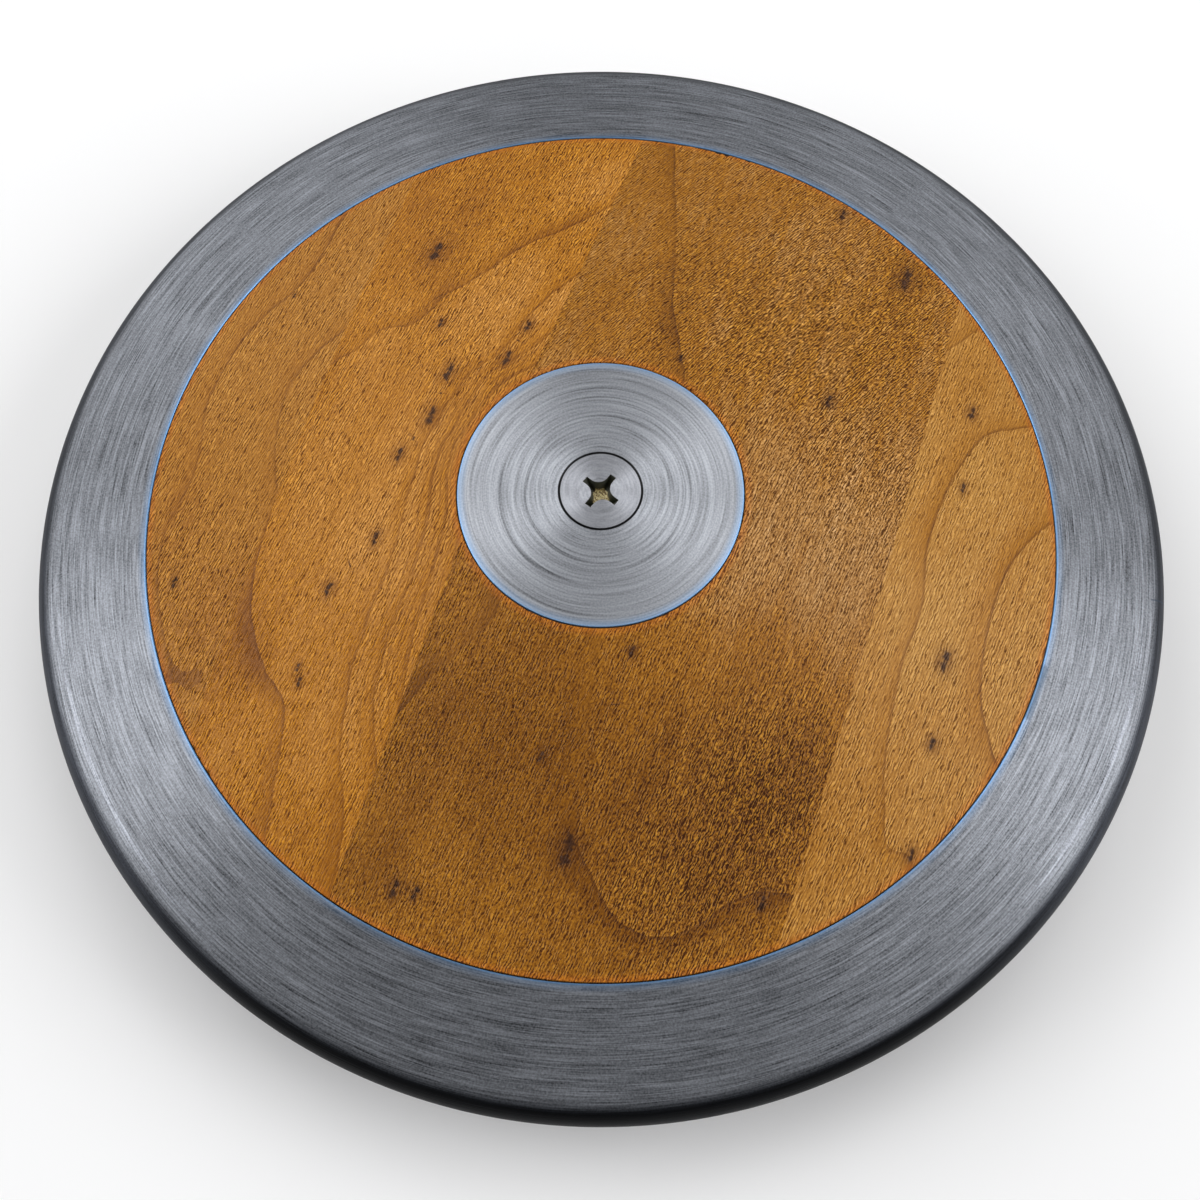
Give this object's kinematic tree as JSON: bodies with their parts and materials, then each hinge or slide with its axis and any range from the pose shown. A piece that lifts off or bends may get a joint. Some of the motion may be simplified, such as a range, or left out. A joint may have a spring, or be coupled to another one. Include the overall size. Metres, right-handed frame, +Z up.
{
  "type": "discus",
  "caption": "Round throwing discus with a steel rim, tapered glued-board wooden sides and a flush steel centre plate with a countersunk screw on each face.",
  "frame": {"origin": "centre of the lower plate's outer face, on the disc's axis, where the discus rests when it lies flat", "axes": "+Z up along the axis it spins about in flight, +Y along the grain of the boards, +X across the boards"},
  "size_m": [0.22, 0.22, 0.045],
  "materials": {
    "rim_steel": "satin",
    "plate_steel": "satin",
    "screw_steel": "satin",
    "sleeve_steel": "satin",
    "outer_board": "satin",
    "golden_board": "satin",
    "brown_board": "satin",
    "pale_board": "satin"
  },
  "bodies": {
    "root": {"rim": "rim_steel", "core_sleeve": "sleeve_steel", "upper_board_1": "outer_board", "upper_board_2": "golden_board", "upper_board_3": "brown_board", "upper_board_4": "pale_board", "upper_plate": "plate_steel", "upper_screw": "screw_steel", "lower_board_1": "outer_board", "lower_board_2": "golden_board", "lower_board_3": "brown_board", "lower_board_4": "pale_board", "lower_plate": "plate_steel", "lower_screw": "screw_steel"}
  },
  "joints": []
}
